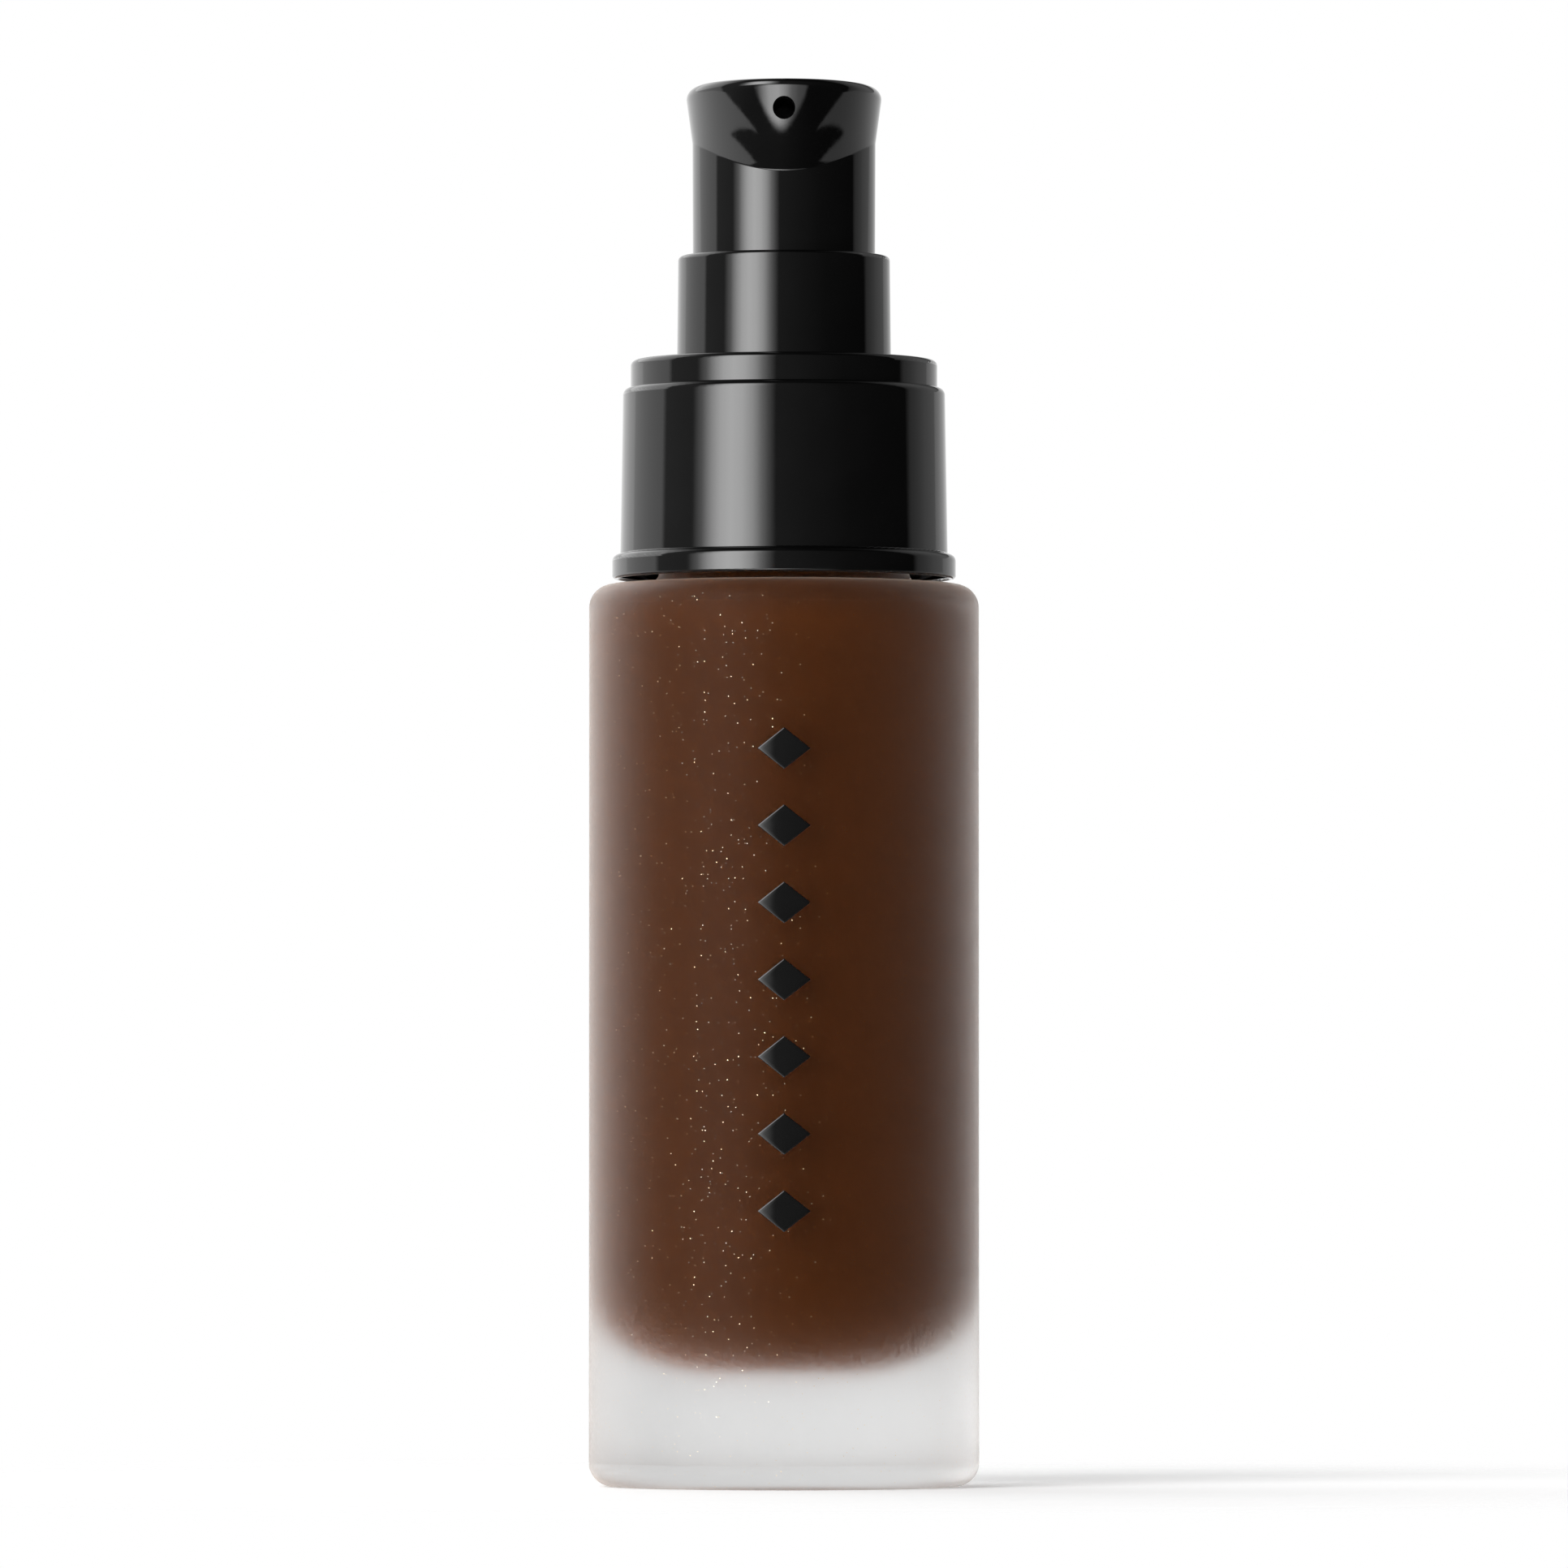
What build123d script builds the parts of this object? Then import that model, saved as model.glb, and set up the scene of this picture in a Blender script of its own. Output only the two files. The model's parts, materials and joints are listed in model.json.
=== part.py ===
from build123d import *
import math
import os

# Foundation bottle with a treatment pump. Millimetres, +Z up.
# Origin: centre of the bottle's base. The nozzle looks along -Y.

# ---- driving dimensions ------------------------------------------------------
# glass bottle
BOTTLE_R = 17.0
SHOULDER_Z = 78.6
BASE_EDGE_R = 2.1
SHOULDER_EDGE_R = 2.0
BASE_THICKNESS = 10.0
PUSH_UP = 0.9
PUSH_UP_R = 10.4
CAVITY_R = 12.6
CAVITY_FLOOR_R = 9.0
CAVITY_SHOULDER_R = 2.2
SHOULDER_WALL = 1.3
NECK_R = 10.9
NECK_ROOT_R = 1.2
NECK_BORE_R = 8.0
NECK_BORE_ROOT_R = 0.8
NECK_TOP_Z = 91.6
NECK_LIP_R = 0.5
FILL_Z = 79.6
FILM = 0.02

# screw thread, neck and closure alike
PITCH = 3.175
THREAD_TURNS = 1.25
NECK_THREAD_Z = 86.0
NECK_THREAD_CREST_R = 11.95
CAP_THREAD_CREST_R = 11.05
CAP_THREAD_DROP = 1.15
THREAD_OVERLAP = 0.3
NECK_THREAD_ROOT = 1.6
NECK_THREAD_LAND = 0.8
CAP_THREAD_ROOT = 1.4
CAP_THREAD_LAND = 0.7

# printed marks on the front of the glass
MARK_COUNT = 7
MARK_WIDTH = 4.6
MARK_HEIGHT = 3.6
MARKS_LOW_Z = 24.0
MARKS_HIGH_Z = 63.8
FOIL = 0.06

# outer closure: flange, collar, overcap seat and tower
FLANGE_R = 15.0
FLANGE_Z = 79.1
FLANGE_TOP_Z = 81.25
COLLAR_LOW_R = 14.29
COLLAR_TOP_R = 14.05
COLLAR_TOP_Z = 95.8
COLLAR_EDGE_R = 0.65
FLANGE_LOW_EDGE_R = 0.3
FLANGE_LIP_R = 14.4
FLANGE_LIP_EDGE_R = 0.25
FLANGE_RECESS = 1.2
FLANGE_TOP_EDGE_R = 0.6
FLANGE_ROOT_R = 0.12
COLLAR_LIP = 1.0
SEAT_R = 13.39
SEAT_TOP_Z = 98.2
SEAT_EDGE_R = 0.5
SEAT_WALL = 2.1
GUIDE_DECK = 1.2
TOWER_ROOT_R = 0.15
TOWER_EDGE_R = 0.4
TOWER_MOUTH_R = 0.3
TOWER_LOW_R = 9.35
TOWER_TOP_R = 9.25
TOWER_TOP_Z = 107.3
TOWER_BORE_R = 8.2

# inner screw closure
CAP_BORE_R = 12.1
CAP_R = 13.2
CAP_LOW_Z = 80.0
CAP_HOLE_R = 5.3
CAP_PLATE = 1.1
CAP_EDGE_R = 0.3

# pump engine
GASKET = 0.8
HOUSING_FLANGE = 1.0
HOUSING_FLANGE_R = 10.8
HOUSING_FLANGE_EDGE_R = 0.2
BARREL_R = 4.5
BARREL_BORE_R = 3.5
SPRING_SEAT_Z = 70.5
BARREL_FLOOR = 1.0
BARREL_TAPER = 2.5
INLET_R = 3.2
INLET_LOW_Z = 57.0
INLET_EDGE_R = 0.4
TUBE_R = 1.6
TUBE_BORE_R = 1.0
TUBE_STOP_Z = 61.0
TUBE_LOW_Z = 11.4
BALL_R = 1.5
BALL_SEAT_Z = 62.0
BALL_SEAT_RISE = 1.0
BALL_CAGE_R = 1.8
BALL_RING_Z = 65.0
BALL_RING_R = 1.25
BALL_RING_LAND = 0.5
BALL_RING_TAPER = 0.6
VENT_R = 0.4
STEM_R = 2.0
STEM_BORE_R = 0.9
STEM_TOP_Z = 117.0
STEM_FOOT_R = 1.8
STEM_FOOT_Z = 86.9
SHOULDER_LOW_Z = 89.0
SHOULDER_R = 2.9
STEM_EDGE_R = 0.2
STEM_MOUTH_R = 0.3
SEAL_LOW_Z = 90.1
SEAL = 0.5
SEAL_POCKET_R = 3.0
RIM_STEP_R = 5.2
RIM_R = 6.2
RIM = 0.8
RIM_EDGE_R = 0.3
PISTON_LOW_Z = 84.5
PISTON_TOP_Z = 88.1
PISTON_WAIST_R = 3.0
PISTON_SEAT_R = 2.3
PISTON_FOOT_R = 2.7
PISTON_LIP = 0.6
PISTON_LIP_FREE = 0.2
PISTON_LIP_ROOT = 0.5
PISTON_LIP_TOP = 0.8
PISTON_WAIST = 1.2
PISTON_SEAT_DEPTH = 1.0
PISTON_BORE_RISE = 1.4
PLUG_FLANGE = 1.0
PLUG_FLANGE_R = 2.8
PLUG_EDGE_R = 0.2
PLUG_FOOT = 2.0
PLUG_FOOT_R = 1.7
PLUG_FOOT_EDGE_R = 0.4
PLUG_NECK_R = 1.3
PLUG_NECK_GAP = 0.5
SPIGOT = 4.5
SPIGOT_WEB = 0.6
SPRING_R = 2.3
SPRING_WIRE_R = 0.25
SPRING_TURNS = 8
RUN = 0.04
SNAP = 0.02
PLAY = 0.05

# actuator
SKIRT_LOW_Z = 100.6
SKIRT_LOW_R = 7.94
SKIRT_TOP_R = 8.02
SKIRT_EDGE_R = 0.3
SKIRT_BORE_R = 7.1
HEAD_R = 8.0
HEAD_TOP_Z = 122.0
HEAD_WALL = 1.1
HEAD_RIM_R = 0.7
HEAD_ROOT = 5.0
DISH = 0.4
DISH_R = 6.6
CREASE_SIDE_Z = 117.15
CREASE_FRONT_DROP = 2.9
FLARE_SIDE = 0.138
FLARE_FRONT = 0.46
NOZZLE_Z = 119.5
NOZZLE_R = 0.975
SPOUT_R = 1.35
SPOUT_END_Y = -8.3
COLUMN_R = 3.4
COLUMN_LENGTH = 8.0
DISC = 1.2
DISC_DROP = 4.2
SECTION_POINTS = 24

# levels that follow from the driving dimensions
CAVITY_TOP_Z = SHOULDER_Z - SHOULDER_WALL
GASKET_TOP_Z = NECK_TOP_Z + GASKET
HOUSING_TOP_Z = GASKET_TOP_Z + HOUSING_FLANGE
CAP_PLATE_LOW_Z = HOUSING_TOP_Z + PLAY
CAP_PLATE_TOP_Z = CAP_PLATE_LOW_Z + CAP_PLATE
SEAL_TOP_Z = SEAL_LOW_Z + SEAL
RIM_LOW_Z = CAP_PLATE_TOP_Z + PLAY
RIM_TOP_Z = CAP_PLATE_TOP_Z + RIM
BARREL_FOOT_Z = SPRING_SEAT_Z - BARREL_FLOOR
INLET_TOP_Z = BARREL_FOOT_Z - BARREL_TAPER
SHOULDER_TOP_Z = SEAL_LOW_Z - PLAY
PLUG_TOP_Z = PISTON_LOW_Z - SNAP
PLUG_LOW_Z = PISTON_LOW_Z - PLUG_FLANGE
PLUG_NECK_TOP_Z = STEM_FOOT_Z - PLUG_NECK_GAP
RECESS_Z = FLANGE_Z + FLANGE_RECESS
COLLAR_LIP_R = SEAT_R - COLLAR_LIP
GUIDE_BORE_R = SEAT_R - SEAT_WALL
GUIDE_DECK_LOW_Z = SEAT_TOP_Z - GUIDE_DECK
CEILING_Z = HEAD_TOP_Z - HEAD_WALL
HEAD_ROOT_Z = CREASE_SIDE_Z - HEAD_ROOT


# ---- helpers -----------------------------------------------------------------
def lathe(*corners):
    """Solid of revolution about Z; each corner is (radius, height) or (radius, height, rounding)."""
    points = [corner[:2] for corner in corners]
    roundings = [corner[2] if len(corner) == 3 else 0 for corner in corners]
    outline = FilletPolyline(*points, radius=roundings, close=True)
    return revolve(Plane.XZ * make_face(outline), Axis.Z)


def ring(outer_r, inner_r, low_z, high_z):
    """Plain round washer or tube about Z."""
    return lathe((inner_r, low_z), (outer_r, low_z), (outer_r, high_z), (inner_r, high_z))


def rod(radius, start, end):
    """Round bar from one point to another."""
    start, end = Vector(*start), Vector(*end)
    return extrude(Plane(start, z_dir=end - start) * Circle(radius), (end - start).length)


def thread_ridge(root_r, crest_r, root_width, crest_width, low_z):
    """Helical ridge with a flat-topped section, from its root radius to its crest radius."""
    helix = Helix(PITCH, PITCH * THREAD_TURNS, root_r, center=(0, 0, low_z))
    depth = crest_r - root_r
    section = Polyline(
        (0, -root_width / 2),
        (depth, -crest_width / 2),
        (depth, crest_width / 2),
        (0, root_width / 2),
        close=True,
    )
    across = Plane(helix @ 0, x_dir=(1, 0, 0), z_dir=helix % 0)
    return sweep(across * make_face(section), path=helix, is_frenet=True)


# ---- bottle ------------------------------------------------------------------
def glass_bottle():
    """Thick-walled glass cylinder with a heavy base, a push-up and a threaded neck."""
    body = lathe(
        (0, PUSH_UP),
        (PUSH_UP_R - 2 * PUSH_UP, PUSH_UP),
        (PUSH_UP_R, 0),
        (BOTTLE_R, 0, BASE_EDGE_R),
        (BOTTLE_R, SHOULDER_Z, SHOULDER_EDGE_R),
        (NECK_R, SHOULDER_Z, NECK_ROOT_R),
        (NECK_R, NECK_TOP_Z, NECK_LIP_R),
        (NECK_BORE_R, NECK_TOP_Z, NECK_LIP_R),
        (NECK_BORE_R, CAVITY_TOP_Z, NECK_BORE_ROOT_R),
        (CAVITY_R, CAVITY_TOP_Z, CAVITY_SHOULDER_R),
        (CAVITY_R, BASE_THICKNESS, CAVITY_FLOOR_R),
        (0, BASE_THICKNESS),
    )
    root_r = NECK_R - THREAD_OVERLAP
    thread = thread_ridge(
        root_r, NECK_THREAD_CREST_R, NECK_THREAD_ROOT, NECK_THREAD_LAND, NECK_THREAD_Z
    )
    return body + thread


def foundation_liquid():
    """The filling, up into the neck, with room for the pump to be drawn straight up."""
    wall = CAVITY_R - FILM
    neck = NECK_BORE_R - FILM
    floor = BASE_THICKNESS + FILM
    ceiling = CAVITY_TOP_Z - FILM
    return lathe(
        (0, floor),
        (wall, floor, CAVITY_FLOOR_R - FILM),
        (wall, ceiling, CAVITY_SHOULDER_R - FILM),
        (neck, ceiling, NECK_BORE_ROOT_R + FILM),
        (neck, FILL_Z),
        (BARREL_R + PLAY, FILL_Z),
        (BARREL_R + PLAY, BARREL_FOOT_Z),
        (INLET_R + PLAY, INLET_TOP_Z),
        (INLET_R + PLAY, INLET_LOW_Z - PLAY),
        (TUBE_R + PLAY, INLET_LOW_Z - PLAY),
        (TUBE_R + PLAY, TUBE_LOW_Z - PLAY),
        (0, TUBE_LOW_Z - PLAY),
    )


def front_foil_marks():
    """Column of plain lozenges printed in foil on the front of the glass."""
    film = ring(BOTTLE_R + FOIL, BOTTLE_R, MARKS_LOW_Z - MARK_HEIGHT, MARKS_HIGH_Z + MARK_HEIGHT)
    step = (MARKS_HIGH_Z - MARKS_LOW_Z) / (MARK_COUNT - 1)
    marks = []
    for index in range(MARK_COUNT):
        middle = MARKS_LOW_Z + index * step
        lozenge = Polyline(
            (-MARK_WIDTH / 2, middle),
            (0, middle - MARK_HEIGHT / 2),
            (MARK_WIDTH / 2, middle),
            (0, middle + MARK_HEIGHT / 2),
            close=True,
        )
        stamp = extrude(Plane.XZ * make_face(lozenge), 2 * BOTTLE_R)
        marks.append((film & stamp).solids()[0])
    return Compound(children=marks)


# ---- pump engine -------------------------------------------------------------
def neck_gasket():
    """Flat washer between the glass lip and the pump flange."""
    return ring(HOUSING_FLANGE_R, BARREL_R + PLAY, NECK_TOP_Z, GASKET_TOP_Z)


def pump_housing():
    """Flanged barrel with the spring seat, the ball cage, the ball seat and the tube socket."""
    body = lathe(
        (BARREL_BORE_R, HOUSING_TOP_Z),
        (HOUSING_FLANGE_R, HOUSING_TOP_Z, HOUSING_FLANGE_EDGE_R),
        (HOUSING_FLANGE_R, GASKET_TOP_Z, HOUSING_FLANGE_EDGE_R),
        (BARREL_R, GASKET_TOP_Z),
        (BARREL_R, BARREL_FOOT_Z),
        (INLET_R, INLET_TOP_Z),
        (INLET_R, INLET_LOW_Z, INLET_EDGE_R),
        (TUBE_R + SNAP, INLET_LOW_Z),
        (TUBE_R + SNAP, TUBE_STOP_Z),
        (TUBE_BORE_R, TUBE_STOP_Z),
        (TUBE_BORE_R, BALL_SEAT_Z),
        (BALL_CAGE_R, BALL_SEAT_Z + BALL_SEAT_RISE),
        (BALL_CAGE_R, BALL_RING_Z),
        (BALL_RING_R, BALL_RING_Z),
        (BALL_RING_R, BALL_RING_Z + BALL_RING_LAND),
        (BALL_CAGE_R, BALL_RING_Z + BALL_RING_LAND + BALL_RING_TAPER),
        (BALL_CAGE_R, SPRING_SEAT_Z),
        (BARREL_BORE_R, SPRING_SEAT_Z),
    )
    vent_z = (SHOULDER_LOW_Z + SEAL_LOW_Z) / 2
    vent = rod(VENT_R, (0, 0, vent_z), (0, 2 * BARREL_R, vent_z))
    return body - vent


def housing_cap():
    """Cap that snaps into the barrel, guides the stem and holds the closure on the pump."""
    return lathe(
        (STEM_R + RUN, SEAL_TOP_Z),
        (SEAL_POCKET_R, SEAL_TOP_Z),
        (SEAL_POCKET_R, SEAL_LOW_Z),
        (BARREL_BORE_R - SNAP, SEAL_LOW_Z),
        (BARREL_BORE_R - SNAP, HOUSING_TOP_Z),
        (RIM_STEP_R, HOUSING_TOP_Z),
        (RIM_STEP_R, RIM_LOW_Z),
        (RIM_R, RIM_LOW_Z),
        (RIM_R, RIM_TOP_Z, RIM_EDGE_R),
        (STEM_R + RUN, RIM_TOP_Z, RIM_EDGE_R),
    )


def stem_seal():
    """Soft washer in the foot of the housing cap; the stem's shoulder closes on it at rest."""
    return ring(SEAL_POCKET_R - SNAP, STEM_R + RUN, SEAL_LOW_Z, SEAL_TOP_Z)


def main_spring():
    """Return spring between the barrel's step and the valve plug."""
    low = SPRING_SEAT_Z + SPRING_WIRE_R + SNAP
    high = PLUG_LOW_Z - SPRING_WIRE_R - SNAP
    coil = Helix((high - low) / SPRING_TURNS, high - low, SPRING_R, center=(0, 0, low))
    across = Plane(coil @ 0, x_dir=(1, 0, 0), z_dir=coil % 0)
    return sweep(across * Circle(SPRING_WIRE_R), path=coil, is_frenet=True)


def dip_tube():
    """Tube from the housing's socket to the bottle's floor, its foot cut on a slant."""
    tube = ring(TUBE_R, TUBE_BORE_R, TUBE_LOW_Z, TUBE_STOP_Z - SNAP)
    slant = Plane((0, 0, TUBE_LOW_Z + TUBE_R), z_dir=(0, 1, 1))
    return split(tube, bisect_by=slant, keep=Keep.TOP)


def inlet_ball():
    """Ball that sits in the conical inlet seat."""
    slope = math.atan2(BALL_CAGE_R - TUBE_BORE_R, BALL_SEAT_RISE)
    contact_r = BALL_R * math.cos(slope)
    contact_z = BALL_SEAT_Z + (contact_r - TUBE_BORE_R) / math.tan(slope)
    return Pos(0, 0, contact_z + BALL_R * math.sin(slope) + SNAP) * Sphere(BALL_R)


def stem():
    """Hollow stem with the shoulder that pushes the piston."""
    return lathe(
        (STEM_BORE_R, STEM_FOOT_Z),
        (STEM_FOOT_R, STEM_FOOT_Z, STEM_EDGE_R),
        (STEM_FOOT_R, SHOULDER_LOW_Z),
        (SHOULDER_R, SHOULDER_LOW_Z, STEM_EDGE_R),
        (SHOULDER_R, SHOULDER_TOP_Z, STEM_EDGE_R),
        (STEM_R, SHOULDER_TOP_Z),
        (STEM_R, STEM_TOP_Z, STEM_MOUTH_R),
        (STEM_BORE_R, STEM_TOP_Z),
    )


def stem_plug():
    """Valve plug: seat flange, spring spigot and a cross-shaped spigot in the stem's bore."""
    foot_z = PLUG_LOW_Z - PLUG_FOOT
    body = lathe(
        (0, foot_z),
        (PLUG_FOOT_R, foot_z, PLUG_FOOT_EDGE_R),
        (PLUG_FOOT_R, PLUG_LOW_Z),
        (PLUG_FLANGE_R, PLUG_LOW_Z, PLUG_EDGE_R),
        (PLUG_FLANGE_R, PLUG_TOP_Z, PLUG_EDGE_R),
        (PLUG_NECK_R, PLUG_TOP_Z),
        (PLUG_NECK_R, PLUG_NECK_TOP_Z),
        (0, PLUG_NECK_TOP_Z),
    )
    spigot = rod(STEM_BORE_R - SNAP, (0, 0, PLUG_TOP_Z), (0, 0, STEM_FOOT_Z + SPIGOT))
    width = 2 * STEM_R
    height = 4 * SPIGOT
    webs = Box(SPIGOT_WEB, width, height) + Box(width, SPIGOT_WEB, height)
    return body + (spigot & Pos(0, 0, STEM_FOOT_Z) * webs)


def piston():
    """Sliding piston with two sealing lips and a seat ring on its foot."""
    lip_r = BARREL_BORE_R - RUN
    bore_r = STEM_FOOT_R + RUN
    top_root_z = PISTON_TOP_Z - PISTON_LIP_ROOT + PISTON_LIP_FREE
    return lathe(
        (PISTON_SEAT_R, PISTON_LOW_Z),
        (PISTON_FOOT_R, PISTON_LOW_Z),
        (PISTON_WAIST_R, PISTON_LOW_Z + PISTON_LIP_ROOT),
        (lip_r, PISTON_LOW_Z + PISTON_LIP_FREE),
        (lip_r, PISTON_LOW_Z + PISTON_LIP_FREE + PISTON_LIP),
        (PISTON_WAIST_R, PISTON_LOW_Z + PISTON_WAIST),
        (PISTON_WAIST_R, PISTON_TOP_Z - PISTON_WAIST),
        (lip_r, PISTON_TOP_Z - PISTON_LIP_TOP),
        (lip_r, PISTON_TOP_Z),
        (PISTON_WAIST_R, top_root_z),
        (bore_r, top_root_z),
        (bore_r, PISTON_LOW_Z + PISTON_BORE_RISE),
        (PISTON_SEAT_R, PISTON_LOW_Z + PISTON_SEAT_DEPTH),
    )


# ---- closure -----------------------------------------------------------------
def screw_closure():
    """Inner threaded cap that clamps the pump's flange on the glass lip."""
    shell = lathe(
        (CAP_BORE_R, CAP_LOW_Z),
        (CAP_R, CAP_LOW_Z, CAP_EDGE_R),
        (CAP_R, CAP_PLATE_TOP_Z, CAP_EDGE_R),
        (CAP_HOLE_R, CAP_PLATE_TOP_Z),
        (CAP_HOLE_R, CAP_PLATE_LOW_Z),
        (CAP_BORE_R, CAP_PLATE_LOW_Z),
    )
    root_r = CAP_BORE_R + THREAD_OVERLAP
    low_z = NECK_THREAD_Z - CAP_THREAD_DROP
    thread = thread_ridge(root_r, CAP_THREAD_CREST_R, CAP_THREAD_ROOT, CAP_THREAD_LAND, low_z)
    return shell + thread


def collar_shell():
    """Glossy outer sleeve; its flange hangs just above the glass shoulder, hollow underneath."""
    return lathe(
        (CAP_R + PLAY, RECESS_Z),
        (FLANGE_LIP_R, RECESS_Z),
        (FLANGE_LIP_R, FLANGE_Z, FLANGE_LIP_EDGE_R),
        (FLANGE_R, FLANGE_Z, FLANGE_LOW_EDGE_R),
        (FLANGE_R, FLANGE_TOP_Z, FLANGE_TOP_EDGE_R),
        (COLLAR_LOW_R, FLANGE_TOP_Z, FLANGE_ROOT_R),
        (COLLAR_TOP_R, COLLAR_TOP_Z, COLLAR_EDGE_R),
        (COLLAR_LIP_R, COLLAR_TOP_Z),
        (COLLAR_LIP_R, CAP_PLATE_TOP_Z),
        (CAP_R + PLAY, CAP_PLATE_TOP_Z),
    )


def guide_sleeve():
    """Overcap seat ring and the tower that the actuator slides in, one moulding."""
    return lathe(
        (TOWER_BORE_R, GUIDE_DECK_LOW_Z),
        (TOWER_BORE_R, TOWER_TOP_Z, TOWER_MOUTH_R),
        (TOWER_TOP_R, TOWER_TOP_Z, TOWER_EDGE_R),
        (TOWER_LOW_R, SEAT_TOP_Z, TOWER_ROOT_R),
        (SEAT_R, SEAT_TOP_Z, SEAT_EDGE_R),
        (SEAT_R, COLLAR_TOP_Z),
        (COLLAR_LIP_R - SNAP, COLLAR_TOP_Z),
        (COLLAR_LIP_R - SNAP, CAP_PLATE_TOP_Z),
        (GUIDE_BORE_R, CAP_PLATE_TOP_Z),
        (GUIDE_BORE_R, GUIDE_DECK_LOW_Z),
    )


# ---- actuator ----------------------------------------------------------------
def head_section(z, inset):
    """Outline of the flared head at a height, drawn in by an inset.

    Going round from the front, the surface leaves the skirt's cylinder at a crease
    that is lowest in front, and leans outwards most in front.
    """
    points = []
    for step in range(SECTION_POINTS):
        turn = 2 * math.pi * step / SECTION_POINTS
        front = max(math.cos(turn), 0) ** 2
        crease = CREASE_SIDE_Z - CREASE_FRONT_DROP * front
        lean = FLARE_SIDE + (FLARE_FRONT - FLARE_SIDE) * front
        radius = HEAD_R - inset + lean * (z - crease)
        points.append((radius * math.sin(turn), -radius * math.cos(turn)))
    return Pos(0, 0, z) * make_face(Spline(*points, periodic=True))


def head_solid(low_z, top_z, inset=0):
    """Flared head between two heights."""
    return loft([head_section(low_z, inset), head_section(top_z, inset)], ruled=True)


def actuator_shell():
    """Glossy button: a skirt that slides in the tower, a head flared towards the nozzle, a finger dish."""
    head = head_solid(HEAD_ROOT_Z, HEAD_TOP_Z)
    head = fillet(head.edges().group_by(Axis.Z)[-1], HEAD_RIM_R)
    dish_curve_r = (DISH_R**2 + DISH**2) / (2 * DISH)
    head -= Pos(0, 0, HEAD_TOP_Z - DISH + dish_curve_r) * Sphere(dish_curve_r)
    skirt_top_z = CREASE_SIDE_Z + HEAD_WALL
    skirt = lathe(
        (0, SKIRT_LOW_Z),
        (SKIRT_LOW_R, SKIRT_LOW_Z, SKIRT_EDGE_R),
        (SKIRT_TOP_R, skirt_top_z),
        (0, skirt_top_z),
    )
    bore = rod(SKIRT_BORE_R, (0, 0, SKIRT_LOW_Z), (0, 0, CREASE_SIDE_Z))
    hollow = head_solid(HEAD_ROOT_Z, CEILING_Z, HEAD_WALL)
    width = 4 * HEAD_R
    hollow &= Pos(0, SPOUT_END_Y + width / 2, CREASE_SIDE_Z) * Box(width, width, width)
    nozzle = rod(NOZZLE_R, (0, 0, NOZZLE_Z), (0, -2 * HEAD_R, NOZZLE_Z))
    return head + skirt - bore - hollow - nozzle


def actuator_core():
    """Inner moulding: stem socket, locating disc and the channel out to the nozzle."""
    column_low_z = STEM_TOP_Z - COLUMN_LENGTH
    disc_low_z = CREASE_SIDE_Z - DISC_DROP
    column = rod(COLUMN_R, (0, 0, column_low_z), (0, 0, CEILING_Z - SNAP))
    disc = rod(SKIRT_BORE_R - SNAP, (0, 0, disc_low_z), (0, 0, disc_low_z + DISC))
    spout = rod(SPOUT_R, (0, 0, NOZZLE_Z), (0, SPOUT_END_Y + SNAP, NOZZLE_Z))
    socket = rod(STEM_R + RUN, (0, 0, column_low_z), (0, 0, STEM_TOP_Z + PLAY))
    riser = rod(STEM_BORE_R, (0, 0, STEM_TOP_Z), (0, 0, NOZZLE_Z))
    channel = rod(NOZZLE_R, (0, STEM_BORE_R, NOZZLE_Z), (0, -2 * HEAD_R, NOZZLE_Z))
    return column + disc + spout - socket - riser - channel


# ---- files -------------------------------------------------------------------
PIECES = (
    glass_bottle,
    foundation_liquid,
    front_foil_marks,
    neck_gasket,
    pump_housing,
    housing_cap,
    stem_seal,
    main_spring,
    dip_tube,
    inlet_ball,
    stem,
    stem_plug,
    piston,
    screw_closure,
    collar_shell,
    guide_sleeve,
    actuator_shell,
    actuator_core,
)

os.makedirs("parts", exist_ok=True)
for piece in PIECES:
    export_step(piece(), f"parts/{piece.__name__}.step")
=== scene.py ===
import json
import math

import bmesh
import bpy
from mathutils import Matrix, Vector


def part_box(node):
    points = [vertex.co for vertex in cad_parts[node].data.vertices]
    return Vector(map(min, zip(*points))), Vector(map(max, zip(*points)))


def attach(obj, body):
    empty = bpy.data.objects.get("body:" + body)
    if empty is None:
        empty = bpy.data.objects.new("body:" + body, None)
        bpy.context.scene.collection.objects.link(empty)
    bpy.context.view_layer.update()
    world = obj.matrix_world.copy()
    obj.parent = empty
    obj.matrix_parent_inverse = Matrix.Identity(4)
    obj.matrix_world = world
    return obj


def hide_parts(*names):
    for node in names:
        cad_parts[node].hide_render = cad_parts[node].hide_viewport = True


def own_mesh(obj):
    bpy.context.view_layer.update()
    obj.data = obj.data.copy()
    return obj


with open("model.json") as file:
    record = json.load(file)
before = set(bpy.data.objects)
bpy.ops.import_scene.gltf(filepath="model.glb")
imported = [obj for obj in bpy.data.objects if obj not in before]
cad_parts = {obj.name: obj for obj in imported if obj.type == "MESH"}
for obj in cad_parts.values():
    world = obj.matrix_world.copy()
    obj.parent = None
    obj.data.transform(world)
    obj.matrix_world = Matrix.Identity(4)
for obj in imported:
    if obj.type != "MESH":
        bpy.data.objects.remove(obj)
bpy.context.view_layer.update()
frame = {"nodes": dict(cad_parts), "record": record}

# Foundation bottle: looks, floor, light and camera. Metres, +Z up, the nozzle looks along -Y.
MM = 0.001

glass_low, glass_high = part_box("glass_bottle")
fill_low, fill_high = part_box("foundation_liquid")
button_low, button_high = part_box("actuator_shell")

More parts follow.
